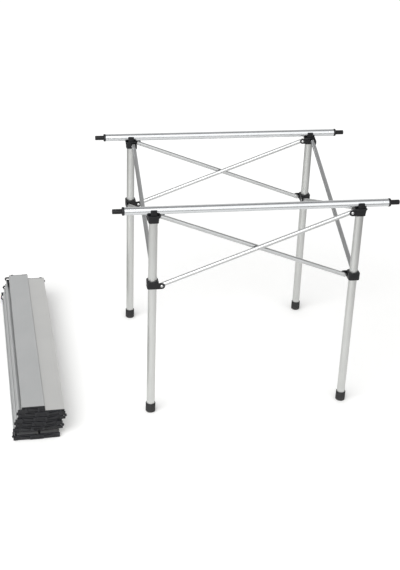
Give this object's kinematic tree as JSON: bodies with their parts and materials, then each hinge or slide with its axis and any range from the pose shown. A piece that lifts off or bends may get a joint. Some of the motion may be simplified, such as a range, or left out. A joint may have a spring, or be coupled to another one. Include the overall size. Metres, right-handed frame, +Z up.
{
  "type": "folding camp table",
  "caption": "Roll-top aluminium camp table taken apart: scissor leg frame standing open with its rails in place, folded slatted top lying beside it.",
  "frame": {"origin": "centre of the bounding box's bottom face, on the floor the four feet and the lowest leaf stand on", "axes": "+X to the right along the front rail, the object's longest extent; +Y from the front to the back; +Z up"},
  "size_m": [0.9802, 0.7552, 0.5709],
  "materials": {
    "leg_tube_metal": "satin anodised",
    "brace_tube_metal": "bright anodised",
    "rail_tube_metal": "bright anodised",
    "slat_metal": "satin anodised",
    "black_nylon": "fine moulded texture",
    "foot_rubber": "matt",
    "rivet_steel": "satin"
  },
  "bodies": {
    "front_left_leg": {"leg_tube_front_left": "leg_tube_metal", "rubber_foot_front_left": "foot_rubber", "corner_bracket_front_left": "black_nylon"},
    "front_right_leg": {"leg_tube_front_right": "leg_tube_metal", "rubber_foot_front_right": "foot_rubber", "corner_bracket_front_right": "black_nylon"},
    "back_right_leg": {"leg_tube_back_right": "leg_tube_metal", "rubber_foot_back_right": "foot_rubber", "corner_bracket_back_right": "black_nylon"},
    "back_left_leg": {"leg_tube_back_left": "leg_tube_metal", "rubber_foot_back_left": "foot_rubber", "corner_bracket_back_left": "black_nylon"},
    "front_left_slider": {"sliding_collar_front_left": "black_nylon"},
    "front_right_slider": {"sliding_collar_front_right": "black_nylon"},
    "back_right_slider": {"sliding_collar_back_right": "black_nylon"},
    "back_left_slider": {"sliding_collar_back_left": "black_nylon"},
    "front_falling_brace": {"falling_brace_front": "brace_tube_metal", "crossing_rivet_front": "rivet_steel"},
    "front_rising_brace": {"rising_brace_front": "brace_tube_metal"},
    "left_rising_brace": {"rising_brace_left": "brace_tube_metal", "crossing_rivet_left": "rivet_steel"},
    "left_falling_brace": {"falling_brace_left": "brace_tube_metal"},
    "right_falling_brace": {"falling_brace_right": "brace_tube_metal", "crossing_rivet_right": "rivet_steel"},
    "right_rising_brace": {"rising_brace_right": "brace_tube_metal"},
    "back_rising_brace": {"rising_brace_back": "brace_tube_metal", "crossing_rivet_back": "rivet_steel"},
    "back_falling_brace": {"falling_brace_back": "brace_tube_metal"},
    "front_rail": {"rail_front": "rail_tube_metal", "rail_plug_front_left": "black_nylon", "rail_plug_front_right": "black_nylon"},
    "back_rail": {"rail_back": "rail_tube_metal", "rail_plug_back_left": "black_nylon", "rail_plug_back_right": "black_nylon"},
    "leaf_1": {"slat_leaf_1_left": "slat_metal", "slat_leaf_1_right": "slat_metal", "end_cap_leaf_1_front": "black_nylon", "end_cap_leaf_1_back": "black_nylon"},
    "leaf_2": {"slat_leaf_2_left": "slat_metal", "slat_leaf_2_right": "slat_metal", "end_cap_leaf_2_front": "black_nylon", "end_cap_leaf_2_back": "black_nylon"},
    "leaf_3": {"slat_leaf_3_left": "slat_metal", "slat_leaf_3_right": "slat_metal", "end_cap_leaf_3_front": "black_nylon", "end_cap_leaf_3_back": "black_nylon"},
    "leaf_4": {"slat_leaf_4_left": "slat_metal", "slat_leaf_4_right": "slat_metal", "end_cap_leaf_4_front": "black_nylon", "end_cap_leaf_4_back": "black_nylon"},
    "leaf_5": {"slat_leaf_5_left": "slat_metal", "slat_leaf_5_right": "slat_metal", "end_cap_leaf_5_front": "black_nylon", "end_cap_leaf_5_back": "black_nylon"},
    "leaf_single": {"slat_single": "slat_metal", "end_cap_single_front": "black_nylon", "end_cap_single_back": "black_nylon"}
  },
  "joints": [
    {"name": "frame_fold", "type": "hinge", "parent": "front_left_leg", "child": "front_falling_brace", "pos_m": [-0.09083, -0.27058, 0.541], "axis": [0, 1, 0], "range_deg": [0, 66]},
    {"name": "front_crossing", "type": "hinge", "parent": "front_falling_brace", "child": "front_rising_brace", "pos_m": [0.14007, -0.27658, 0.4535], "axis": [0, 1, 0], "range_deg": [-132, 0]},
    {"name": "front_right_leg_pivot", "type": "hinge", "parent": "front_rising_brace", "child": "front_right_leg", "pos_m": [0.37097, -0.28258, 0.541], "axis": [0, 1, 0], "range_deg": [0, 66]},
    {"name": "front_right_slider_pivot", "type": "hinge", "parent": "front_falling_brace", "child": "front_right_slider", "pos_m": [0.37097, -0.27058, 0.366], "axis": [0, 1, 0], "range_deg": [-66, 0]},
    {"name": "front_left_slider_pivot", "type": "hinge", "parent": "front_rising_brace", "child": "front_left_slider", "pos_m": [-0.09083, -0.28258, 0.366], "axis": [0, 1, 0], "range_deg": [0, 66]},
    {"name": "left_rising_pivot", "type": "hinge", "parent": "front_left_leg", "child": "left_rising_brace", "pos_m": [-0.11843, -0.25498, 0.541], "axis": [-1, 0, 0], "range_deg": [0, 66]},
    {"name": "left_crossing", "type": "hinge", "parent": "left_rising_brace", "child": "left_falling_brace", "pos_m": [-0.11243, -0.02408, 0.4535], "axis": [-1, 0, 0], "range_deg": [-132, 0]},
    {"name": "back_left_leg_pivot", "type": "hinge", "parent": "left_falling_brace", "child": "back_left_leg", "pos_m": [-0.10643, 0.20682, 0.541], "axis": [-1, 0, 0], "range_deg": [0, 66]},
    {"name": "back_left_slider_pivot", "type": "hinge", "parent": "left_rising_brace", "child": "back_left_slider", "pos_m": [-0.11843, 0.20682, 0.366], "axis": [-1, 0, 0], "range_deg": [-66, 0]},
    {"name": "right_falling_pivot", "type": "hinge", "parent": "front_right_leg", "child": "right_falling_brace", "pos_m": [0.38657, -0.25498, 0.541], "axis": [-1, 0, 0], "range_deg": [0, 66]},
    {"name": "right_crossing", "type": "hinge", "parent": "right_falling_brace", "child": "right_rising_brace", "pos_m": [0.39257, -0.02408, 0.4535], "axis": [-1, 0, 0], "range_deg": [-132, 0]},
    {"name": "back_right_leg_pivot", "type": "hinge", "parent": "right_rising_brace", "child": "back_right_leg", "pos_m": [0.39857, 0.20682, 0.541], "axis": [-1, 0, 0], "range_deg": [0, 66]},
    {"name": "back_right_slider_pivot", "type": "hinge", "parent": "right_falling_brace", "child": "back_right_slider", "pos_m": [0.38657, 0.20682, 0.366], "axis": [-1, 0, 0], "range_deg": [-66, 0]},
    {"name": "back_rising_pivot", "type": "hinge", "parent": "back_left_leg", "child": "back_rising_brace", "pos_m": [-0.09083, 0.23442, 0.541], "axis": [0, 1, 0], "range_deg": [0, 66]},
    {"name": "back_crossing", "type": "hinge", "parent": "back_rising_brace", "child": "back_falling_brace", "pos_m": [0.14007, 0.22842, 0.4535], "axis": [0, 1, 0], "range_deg": [-132, 0]},
    {"name": "front_rail_lift", "type": "slide", "parent": "front_left_leg", "child": "front_rail", "axis": [0, 0, 1], "range_m": [0, 0.1]},
    {"name": "back_rail_lift", "type": "slide", "parent": "back_left_leg", "child": "back_rail", "axis": [0, 0, 1], "range_m": [0, 0.1]},
    {"name": "folded_top_lift", "type": "slide", "parent": "front_left_leg", "child": "leaf_1", "axis": [0, 0, 1], "range_m": [0, 0.15]},
    {"name": "top_unfold", "type": "hinge", "parent": "leaf_1", "child": "leaf_2", "pos_m": [-0.4751, 0.00551, 0.01365], "axis": [0.0332, -0.9995, 0], "range_deg": [0, 180]},
    {"name": "leaf_hinge_2", "type": "hinge", "parent": "leaf_2", "child": "leaf_3", "pos_m": [-0.35276, 0.00957, 0.02745], "axis": [0.0332, -0.9995, 0], "range_deg": [-180, 0]},
    {"name": "leaf_hinge_3", "type": "hinge", "parent": "leaf_3", "child": "leaf_4", "pos_m": [-0.4679, 0.00575, 0.04125], "axis": [0.0332, -0.9995, 0], "range_deg": [0, 180]},
    {"name": "leaf_hinge_4", "type": "hinge", "parent": "leaf_4", "child": "leaf_5", "pos_m": [-0.34557, 0.00981, 0.05505], "axis": [0.0332, -0.9995, 0], "range_deg": [-180, 0]},
    {"name": "leaf_hinge_5", "type": "hinge", "parent": "leaf_5", "child": "leaf_single", "pos_m": [-0.4607, 0.00599, 0.06885], "axis": [0.0332, -0.9995, 0], "range_deg": [0, 180]}
  ],
  "couplings": [
    {"joint": "front_crossing", "follows": "frame_fold", "ratio": -2},
    {"joint": "front_right_leg_pivot", "follows": "frame_fold", "ratio": 1},
    {"joint": "front_right_slider_pivot", "follows": "frame_fold", "ratio": -1},
    {"joint": "front_left_slider_pivot", "follows": "frame_fold", "ratio": 1},
    {"joint": "left_rising_pivot", "follows": "frame_fold", "ratio": 1},
    {"joint": "left_crossing", "follows": "frame_fold", "ratio": -2},
    {"joint": "back_left_leg_pivot", "follows": "frame_fold", "ratio": 1},
    {"joint": "back_left_slider_pivot", "follows": "frame_fold", "ratio": -1},
    {"joint": "right_falling_pivot", "follows": "frame_fold", "ratio": 1},
    {"joint": "right_crossing", "follows": "frame_fold", "ratio": -2},
    {"joint": "back_right_leg_pivot", "follows": "frame_fold", "ratio": 1},
    {"joint": "back_right_slider_pivot", "follows": "frame_fold", "ratio": -1},
    {"joint": "back_rising_pivot", "follows": "frame_fold", "ratio": 1},
    {"joint": "back_crossing", "follows": "frame_fold", "ratio": -2},
    {"joint": "leaf_hinge_2", "follows": "top_unfold", "ratio": -1},
    {"joint": "leaf_hinge_3", "follows": "top_unfold", "ratio": 1},
    {"joint": "leaf_hinge_4", "follows": "top_unfold", "ratio": -1},
    {"joint": "leaf_hinge_5", "follows": "top_unfold", "ratio": 1}
  ]
}
